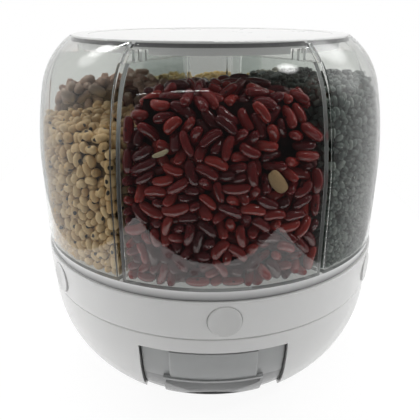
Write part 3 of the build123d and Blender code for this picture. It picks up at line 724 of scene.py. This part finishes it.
def lay_beans(name, shape, centre, frames, vary, tank, rng, material):
    """One mesh with the same bean surface at each centre, varied in size by a share."""
    points, corners, places = bean_surface(*shape)
    number = len(centre)
    sizes = rng.normal(1.0, vary, (number, 1, 3)).clip(0.8, 1.2)
    shapes = points[None] * sizes
    laid = np.einsum("npk,nkd->npd", shapes, frames) + centre[:, None]
    faces = corners[None] + (np.arange(number) * len(points))[:, None, None]
    world_points = tank_to_world(laid.reshape(-1, 3), tank)
    piece = put_mesh(name, world_points, faces.reshape(-1, 3), material, "rotor")
    half = np.abs(points).max(0)
    where = piece.data.attributes.new("bean_place", "FLOAT_VECTOR", "POINT")
    where.data.foreach_set("vector", np.tile(points / half, (number, 1)).astype(np.float32).ravel())
    luck = piece.data.attributes.new("bean_luck", "FLOAT", "POINT")
    luck.data.foreach_set("value", np.repeat(rng.uniform(0, 1, number), len(points)).astype(np.float32))
    across = math.ceil(math.sqrt(number))
    cell = np.stack([np.arange(number) % across, np.arange(number) // across], -1)[:, None, None]
    flat_map = (cell + map_margin + places[None] * (1 - 2 * map_margin)) / across
    layer = piece.data.uv_layers.new(name=bake_map)
    layer.uv.foreach_set("vector", flat_map.astype(np.float32).ravel())
    print(f"{name}: {number} laid, {number * len(corners)} triangles")


def make_heap(name, bean, heap, material):
    """Settles a heap, clears the spots where something else lies, and lays its beans."""
    centre, axis = settle(bean, heap)
    rng = np.random.default_rng(heap["seed"] + 200)
    for spot, gap in heap.get("clear", ()):
        keep = np.linalg.norm(centre - np.array(spot), axis=1) > gap
        centre, axis = centre[keep], axis[keep]
    frames = bean_frames(centre, axis, heap, rng, bean["loose"])
    lay_beans(name, bean["shape"], centre, frames, bean["vary"], heap["tank"], rng, material)


def lay_single(name, shape, spot, axis, tank, material):
    """One piece that lies flat against the outer wall at a spot, its long side along an axis."""
    spot, axis = np.array(spot), np.array(axis) / np.linalg.norm(axis)
    outward = np.array([spot[0], spot[1], 0])
    width = np.cross(outward, axis)
    width /= np.linalg.norm(width)
    frames = np.stack([axis, width, np.cross(axis, width)])[None]
    lay_beans(name, shape, spot[None], frames, 0.0, tank, np.random.default_rng(1), material)


# %% [markdown]
# ## Skins of the beans
#
# Each skin reads the bean's random number for its tone and its own place on the bean for the spot
# where it hung. Red kidney beans are glossy and dark with a pale scar, black-eyed beans are cream
# with a black ring round theirs, mung beans are dark green with a white stroke. Peanuts have a dull
# red-brown skin with fine veins.

# %% Bean materials


def bean_skin(name, tones, eye, eye_size, eye_colour, ring_colour, gloss, vein, vein_share, ior=1.48):
    """Bean skin: tone by bean, veins by a cloudy noise, and at y = 1 a scar with a ring round it."""
    material, tree, shader, _ = new_material(name)
    place = add(tree, "Attribute", attribute_name="bean_place").outputs["Vector"]
    luck = add(tree, "Attribute", attribute_name="bean_luck").outputs["Fac"]
    tone = ramp(tree, luck, [(i / (len(tones) - 1), t) for i, t in enumerate(tones)])
    shift = add(tree, "VectorMath", {0: place, 1: luck}, operation="ADD")
    veins = add(tree, "TexNoise", {"Vector": shift.outputs[0], "Scale": vein, "Detail": 4.0,
                "Roughness": 0.6, "Distortion": 0.8})
    darker = add(tree, "MixRGB", {0: vein_share, 1: tone, 2: veins.outputs["Fac"]}, blend_type="MULTIPLY")
    spot = add(tree, "VectorMath", {0: place, 1: (0, 1, 0)}, operation="SUBTRACT")
    scaled = add(tree, "VectorMath", {0: spot.outputs[0], 1: eye_size}, operation="DIVIDE")
    away = add(tree, "VectorMath", {0: scaled.outputs[0]}, operation="LENGTH").outputs["Value"]
    ring = rescale(tree, away, 1.0, 0.85)
    core = rescale(tree, away, eye, eye * 0.75)
    marked = blend_colours(tree, ring, darker.outputs[0], (*ring_colour, 1))
    marked = blend_colours(tree, core, marked, (*eye_colour, 1))
    skin = use_group(tree, moulded_skin, Place=object_place(tree), Ripple=900.0, Drift=160.0,
                     Gloss=gloss, Spread=0.2)
    normal = bumped(tree, veins.outputs["Fac"], 0.3, 0.00015)
    wire(tree, shader, {"Base Color": marked, "Roughness": skin.outputs["Roughness"],
                        "Normal": normal, "IOR": ior})
    return material


skins = {
    "kidney_beans": bean_skin("kidney_bean_skin", [(0.032, 0.003, 0.004), (0.080, 0.006, 0.008),
                              (0.150, 0.012, 0.012), (0.240, 0.024, 0.019)], 0.5, (0.20, 0.5, 0.30),
                              (0.62, 0.48, 0.36), (0.03, 0.004, 0.005), 0.12, 3.0, 0.35, 1.75),
    "black_eyed_beans": bean_skin("black_eyed_bean_skin", [(0.53, 0.34, 0.15), (0.65, 0.45, 0.22),
                                  (0.73, 0.53, 0.29), (0.60, 0.38, 0.17)], 0.35, (0.42, 0.55, 0.62),
                                  (0.55, 0.48, 0.36), (0.018, 0.016, 0.016), 0.42, 2.5, 0.25),
    "mung_beans": bean_skin("mung_bean_skin", [(0.045, 0.062, 0.054), (0.075, 0.100, 0.088),
                            (0.115, 0.145, 0.128), (0.19, 0.22, 0.195)], 0.9, (0.35, 0.5, 0.16),
                            (0.45, 0.46, 0.40), (0.05, 0.06, 0.045), 0.22, 3.0, 0.3, 1.65),
    "navy_beans": bean_skin("navy_bean_skin", [(0.34, 0.31, 0.25), (0.44, 0.40, 0.33),
                            (0.54, 0.50, 0.42)], 0.4, (0.2, 0.5, 0.3),
                            (0.5, 0.42, 0.3), (0.62, 0.56, 0.44), 0.3, 2.5, 0.15),
    "soy_beans": bean_skin("soy_bean_skin", [(0.55, 0.38, 0.13), (0.66, 0.48, 0.19),
                           (0.74, 0.58, 0.28)], 0.4, (0.35, 0.5, 0.2),
                           (0.35, 0.2, 0.08), (0.6, 0.42, 0.16), 0.34, 2.5, 0.2),
    "peanuts": bean_skin("peanut_skin", [(0.48, 0.28, 0.21), (0.58, 0.37, 0.28),
                         (0.66, 0.45, 0.35), (0.72, 0.54, 0.43)], 0.3, (0.1, 0.3, 0.1),
                         (0.5, 0.36, 0.26), (0.4, 0.22, 0.15), 0.5, 5.0, 0.5),
}
skins["half_bean"] = bean_skin("split_bean_face", [(0.40, 0.25, 0.11), (0.52, 0.34, 0.17)], 0.4,
                               (0.1, 0.2, 0.1), (0.3, 0.2, 0.1), (0.3, 0.2, 0.1), 0.5, 9.0, 0.7)
skins["husk"] = bean_skin("dry_husk", [(0.42, 0.34, 0.20), (0.50, 0.42, 0.27)], 0.4,
                          (0.1, 0.2, 0.1), (0.4, 0.3, 0.2), (0.5, 0.4, 0.3), 0.6, 6.0, 0.4)
print("skins:", ", ".join(skins))

# %% [markdown]
# ## The six heaps
#
# The photograph shows red kidney beans in front, black-eyed beans to the left, mung beans to the
# right, a pink-brown nut behind the left tank and something yellow in the rear tank. The tank that
# it hides holds navy beans here. Sizes are those of the real seeds, in millimetres: ball and reach
# describe the chain of balls that stands for a bean while the heap settles. The shape lists length,
# width, thickness, bluntness, bend, dent, and the rows and columns of its grid. A split bean and a bit
# of husk lie against the front wall.

# %% Fill the tanks
half_bean_spot = (135.3, 33.7, 194.4)
husk_spot = (131.9, -40.3, 213.4)
beans = {
    "kidney_beans": dict(shape=(16.6, 8.0, 7.2, 0.62, 0.9, 0.12, 8, 8), ball=3.7, reach=4.4, links=3,
                         depth=13.0, share=0.62, loose=0.5, vary=0.08, lying=0.6),
    "black_eyed_beans": dict(shape=(9.6, 7.2, 6.2, 0.68, 0.7, 0.12, 6, 8), ball=3.2, reach=1.6, links=2,
                             depth=10.0, share=0.58, loose=0.4, vary=0.07),
    "mung_beans": dict(shape=(7.2, 4.8, 4.5, 0.6, 0.0, 0.0, 4, 7), ball=2.25, reach=1.3, links=2,
                       depth=7.5, share=0.54, loose=0.4, vary=0.07),
    "navy_beans": dict(shape=(9.4, 6.8, 6.0, 0.75, 0.5, 0.1, 6, 8), ball=3.05, reach=1.6, links=2,
                       depth=9.5, share=0.54, loose=0.4, vary=0.06),
    "soy_beans": dict(shape=(7.8, 7.0, 6.6, 0.85, 0.0, 0.0, 5, 8), ball=3.45, reach=0.0, links=1,
                      depth=9.5, share=0.54, loose=0.5, vary=0.05),
    "peanuts": dict(shape=(14.5, 8.6, 8.0, 0.66, 0.3, 0.05, 7, 8), ball=3.95, reach=3.2, links=2,
                    depth=12.5, share=0.50, loose=0.8, vary=0.09),
}
heaps = {
    "kidney_beans": dict(tank=0, level=253.0, waves=2.0, seed=11,
                         clear=((half_bean_spot, 7.5), (husk_spot, 6.5))),
    "mung_beans": dict(tank=1, level=251.5, waves=2.0, seed=13),
    "navy_beans": dict(tank=2, level=242.0, waves=4.0, seed=14),
    "soy_beans": dict(tank=3, level=234.0, waves=3.0, seed=15),
    "peanuts": dict(tank=4, level=240.0, waves=5.0, seed=16),
    "black_eyed_beans": dict(tank=5, level=224.0, waves=4.0, seed=12),
}
for name, heap in heaps.items():
    make_heap(name, beans[name], heap, skins[name])
lay_single("half_bean", (17.5, 9.5, 3.0, 0.6, 0.4, 0.0, 10, 12), half_bean_spot,
           (-0.1, 0.59, -0.8), 0, skins["half_bean"])
lay_single("husk", (11.5, 3.4, 1.6, 0.7, 0.5, 0.0, 8, 8), husk_spot,
           (0.2, 0.89, 0.4), 0, skins["husk"])

# %% [markdown]
# ## What lies deeper
#
# Between the beans the eye looks into the dark of the heap. A closed, plain surface stands for the
# beans that lie deeper. It follows the tank's inside, inset by a little less than the layer of real
# beans, and has the beans' colour, much darkened by painted shade, as in a deep gap.

# %% Deep filling


def deep_surface(heap, inset, levels, around):
    """A closed surface inset from walls and top.

    One parameter runs round the wedge's outline: outer arc, side, hub, side. The other runs up, and
    at both ends the rings shrink to the middle of the wedge. Heights run between the hopper and the
    top of the heap, each inset.
    """
    share = np.linspace(0, 1, around, endpoint=False)
    span = np.interp(share, [0, 0.4, 0.7, 0.8, 1.0], [-1, 1, 1, -1, -1])
    outward = np.interp(share, [0, 0.4, 0.7, 0.8, 1.0], [1, 1, 0, 0, 1])
    rise = np.concatenate([np.zeros(3), np.linspace(0, 1, levels), np.ones(3)])
    shrink = np.concatenate([[0.02, 0.35, 0.7], np.ones(levels), [0.7, 0.35, 0.02]])
    hub = hub_inset + inset
    middle = np.array([92.0, 0.0])      # the end rings shrink towards this (out, side)
    sunk = inset * 0.2
    low = hopper_heights[-1] + sunk
    high = heap["level"] - inset
    height = low + (high - low) * rise[:, None] * np.ones_like(share)
    outer = wall_radius(height) - inset
    spread = wedge - np.arcsin((side_inset + inset) / outer)
    angle = span[None] * spread
    rim = np.stack([outer * np.cos(angle), outer * np.sin(angle)], -1)
    hub_half = (hub * math.sin(wedge) - side_inset - inset) / math.cos(wedge)
    hub_side = span[None] * max(hub_half, 1.0) * np.ones_like(height)
    root = np.stack([np.full_like(height, hub), hub_side], -1)
    ring = root + (rim - root) * outward[None, :, None]
    ring = middle + (ring - middle) * shrink[:, None, None]
    points = np.concatenate([ring, height[..., None]], -1)
    top_rows = rise == 1
    points[top_rows, :, 2] = heap_top(points[top_rows], heap) - inset
    radius = np.hypot(points[..., 0], points[..., 1])
    floor_rows = rise == 0
    points[floor_rows, :, 2] = np.interp(radius[floor_rows], hopper_radii, hopper_heights) + sunk
    rows = len(rise)
    row, column = np.meshgrid(np.arange(rows - 1), np.arange(around), indexing="ij")
    after = (column + 1) % around
    quads = np.stack([row * around + column, row * around + after, (row + 1) * around + after,
                      (row + 1) * around + column], -1).reshape(-1, 4)
    triangles = np.concatenate([quads[:, [0, 1, 2]], quads[:, [0, 2, 3]]])
    caps = []
    flat_points = points.reshape(-1, 3)
    for tip_row, order in ((0, 1), (rows - 1, -1)):
        tip = len(flat_points)
        flat_points = np.concatenate([flat_points, points[tip_row].mean(0)[None]])
        edge = tip_row * around + np.arange(around)
        follow = tip_row * around + (np.arange(around) + 1) % around
        caps.append(np.stack([np.full(around, tip), follow, edge], -1)[:, ::order])
    triangles = np.concatenate([triangles, *caps])
    p0, p1, p2 = (flat_points[triangles[:, k]] - flat_points.mean(0) for k in range(3))
    if np.einsum("ij,ij->", p0, np.cross(p1, p2)) < 0:
        triangles = triangles[:, ::-1]
    return flat_points, triangles


def deep_material(name, colour):
    """Dark, dull and clouded by darker cells: painted shade, what light leaves of a colour between many
    beans.
    """
    material, tree, shader, _ = new_material(name)
    cells = add(tree, "TexVoronoi", {"Vector": object_place(tree), "Scale": 160.0})
    shade = ramp(tree, cells.outputs["Distance"], [(0.1, colour), (0.7, [c * 0.25 for c in colour])])
    wire(tree, shader, {"Base Color": shade, "Roughness": 0.9, "Specular IOR Level": 0.1})
    return material


# painted shade: the beans' colours, much darkened, for the gaps deep in each heap
deep_colours = {
    "kidney_beans": (0.014, 0.003, 0.003), "mung_beans": (0.03, 0.035, 0.022),
    "navy_beans": (0.22, 0.19, 0.15), "soy_beans": (0.26, 0.17, 0.06),
    "peanuts": (0.28, 0.17, 0.12), "black_eyed_beans": (0.26, 0.18, 0.10),
}
for name, heap in heaps.items():
    points, corners = deep_surface(heap, beans[name]["depth"] - beans[name]["ball"], 16, 64)
    put_mesh(name + "_below", tank_to_world(points, heap["tank"]), corners,
             deep_material(name + "_shade", deep_colours[name]), "rotor")
print("deep fillings:", len(heaps))

# %% [markdown]
# ## Floor
#
# The object stands on a sheet of white paper. The front wall of the tanks mirrors that sheet: the
# milky haze over the lower beans ends where the paper ends, some forty centimetres in front. The
# paper is therefore as large as that haze says. To the camera, and in gloss and glass, it glows a
# little, so that it is as white as the backdrop, but it still takes the object's shadow.

# %% Paper sheet
paper_left, paper_right = -375 * mm, 319 * mm
paper_front, paper_back = -408 * mm, 900 * mm
paper_corner = 30 * mm
paper_glow = 0.92           # level of the paper to the eye, to which lamps and shadow add a little


def sheet_surface(left, right, front, back, corner, steps):
    """A flat sheet with rounded corners: an outline of four quarter circles, filled as one face."""
    outline = []
    for k, (cx, cy) in enumerate(((right - corner, back - corner), (left + corner, back - corner),
                                  (left + corner, front + corner), (right - corner, front + corner))):
        angle = np.linspace(0, np.pi / 2, steps) + k * np.pi / 2
        outline.append(np.stack([cx + corner * np.cos(angle), cy + corner * np.sin(angle),
                                 np.zeros(steps)], -1))
    return np.concatenate(outline)


edge = sheet_surface(paper_left, paper_right, paper_front, paper_back, paper_corner, 10)
mesh = bpy.data.meshes.new("paper_sheet")
mesh.from_pydata(edge.tolist(), [], [list(range(len(edge)))])
paper = bpy.data.objects.new("paper_sheet", mesh)
bpy.context.collection.objects.link(paper)
material, tree, shader, _ = new_material("white_paper")
fibres = add(tree, "TexNoise", {"Vector": object_place(tree), "Scale": 900.0, "Detail": 4.0})
lighting = ramp(tree, fibres.outputs["Fac"], [(0.3, (0.82, 0.82, 0.82)), (0.7, (0.86, 0.86, 0.86))])
path = add(tree, "LightPath")
seen = maths(tree, "SUBTRACT", 1.0, path.outputs["Is Diffuse Ray"])
wire(tree, shader, {"Base Color": blend_colours(tree, seen, lighting, (0.10, 0.10, 0.10, 1)),
                    "Emission Color": (1, 1, 1, 1),
                    "Emission Strength": maths(tree, "MULTIPLY", seen, paper_glow),
                    "Roughness": 0.85, "Specular IOR Level": 0.0})
mesh.materials.append(material)
print("paper, mm:", round((paper_right - paper_left) / mm), "wide")

# %% [markdown]
# ## Light
#
# Soft light comes from a large lamp overhead and from both sides, and the front stays darker, so
# the white ring shades from bright edges to a greyer middle. A small lamp at the upper right lights
# that side a little more. These four leave no shape of their own in the glass. Four long thin ceiling
# lamps do: they are the fine streaks on the front wall and near the mouth.
#
# The world has four levels. The camera sees white. Behind the glass it is darker, in the middle most.
# Matt faces get light from a room that is darker in front, and mirrors see a room with a bright back
# wall and six soft windows, which leave the soft glints on the shoulders of the dome.

# %% Lamps
aim_height = 0.18           # the lamps point at this height on the axis, in metres
ceiling = 1.15


def area_light(name, width, height, power):
    """A rectangular lamp, linked into the scene."""
    data = bpy.data.lights.new(name, "AREA")
    data.shape = "RECTANGLE"
    data.size, data.size_y = width, height
    data.energy = power
    lit_lamp = bpy.data.objects.new(name, data)
    bpy.context.collection.objects.link(lit_lamp)
    return lit_lamp


def lamp(name, azimuth, elevation, distance, width, height, power):
    """A lamp aimed at the tanks that lights the object but isn't seen in the glass. Azimuth 0 is in
    front of the object, 90 at its right."""
    lit_lamp = area_light(name, width, height, power)
    a, e = math.radians(azimuth), math.radians(elevation)
    aim = np.array([0, 0, aim_height])
    back = np.array([math.sin(a) * math.cos(e), -math.cos(a) * math.cos(e), math.sin(e)])
    lit_lamp.location = aim + back * distance
    lit_lamp.rotation_mode = "QUATERNION"
    lit_lamp.rotation_quaternion = Vector(back).to_track_quat("Z", "Y")
    lit_lamp.visible_glossy = False
    lit_lamp.visible_transmission = False


def strip(name, left, right, forward, thickness, power):
    """A long thin ceiling lamp along X, from left to right, tipped towards the tanks."""
    tube = area_light(name, right - left, thickness, power)
    tube.location = ((left + right) / 2, -forward, ceiling)
    tube.rotation_euler = (math.atan2(forward, ceiling - aim_height), 0, 0)


lamp("overhead", 180, 80, 1.2, 1.1, 0.9, 8.0)
lamp("left_side", -95, 12, 1.1, 0.7, 0.7, 5.2)
lamp("right_side", 95, 12, 1.1, 0.7, 0.7, 3.0)
lamp("small_right", 70, 47.5, 1.2, 0.20, 0.12, 2.2)
strip("near_ceiling_tube", -0.72, -0.06, 1.33, 0.012, 0.55)
strip("far_ceiling_tube", -1.54, -1.03, 1.33, 0.012, 0.4)
strip("top_left_tube", -0.85, -0.36, -0.36, 0.014, 0.8)
strip("top_right_tube", 0.72, 0.80, -0.36, 0.02, 0.2)
print("lamps:", ", ".join(light.name for light in bpy.data.lights))

# %% World
world = bpy.data.worlds.new("studio")
bpy.context.scene.world = world
world.use_nodes = True
tree = world.node_tree
tree.nodes.clear()
output = tree.nodes.new("ShaderNodeOutputWorld")
direction = add(tree, "TexCoord").outputs["Generated"]
split = add(tree, "SeparateXYZ", {0: direction})
scattering = rescale(tree, split.outputs["Y"], -1.0, 1.0, 0.25, 0.80)
mirrored = rescale(tree, split.outputs["Y"], -0.35, 0.35, 0.06, 0.70)
back_wall = rescale(tree, split.outputs["Y"], 0.80, 0.98, high=0.36)
mirrored = maths(tree, "ADD", mirrored, back_wall)
# each window: its direction, the cosine at which it ends, and its level
windows = {"left_shoulder": ((-0.575, 0.446, 0.686), 0.9965, 7.0),
           "left_middle": ((-0.650, 0.412, 0.638), 0.9930, 2.6),
           "left_sheen": ((-0.745, 0.364, 0.559), 0.9880, 1.5),
           "right_shoulder": ((0.665, 0.452, 0.595), 0.970, 2.4),
           "right_haze": ((0.910, 0.230, 0.345), 0.940, 0.9),
           "right_glow": ((0.617, -0.180, 0.766), 0.992, 9.0)}
for middle, edge_cosine, level in windows.values():
    near = add(tree, "VectorMath", {0: direction, 1: middle}, operation="DOT_PRODUCT").outputs["Value"]
    shine = rescale(tree, near, edge_cosine, 1.0, high=level, interpolation_type="SMOOTHSTEP")
    mirrored = maths(tree, "ADD", mirrored, shine)
path = add(tree, "LightPath")
glossed = maths(tree, "GREATER_THAN", path.outputs["Glossy Depth"], 0.5)
scattered = maths(tree, "GREATER_THAN", path.outputs["Diffuse Depth"], 0.5)
room_level = add(tree, "Mix", {0: glossed, 2: scattering, 3: mirrored}, data_type="FLOAT")
room = add(tree, "Background", {"Strength": room_level.outputs[0]})
aside = maths(tree, "ABSOLUTE", split.outputs["X"])
room_behind = rescale(tree, aside, 0.04, 0.19, 0.52, 0.85)
behind_glass = rescale(tree, path.outputs["Is Camera Ray"], 0.0, 1.0, room_behind)
backdrop = add(tree, "Background", {"Color": (1, 1, 1, 1), "Strength": behind_glass})
turned_away = maths(tree, "MAXIMUM", glossed, scattered)
whole = add(tree, "MixShader", {0: turned_away, 1: backdrop.outputs[0], 2: room.outputs[0]})
tree.links.new(whole.outputs[0], output.inputs["Surface"])
print("world:", world.name, "with", len(windows), "windows")
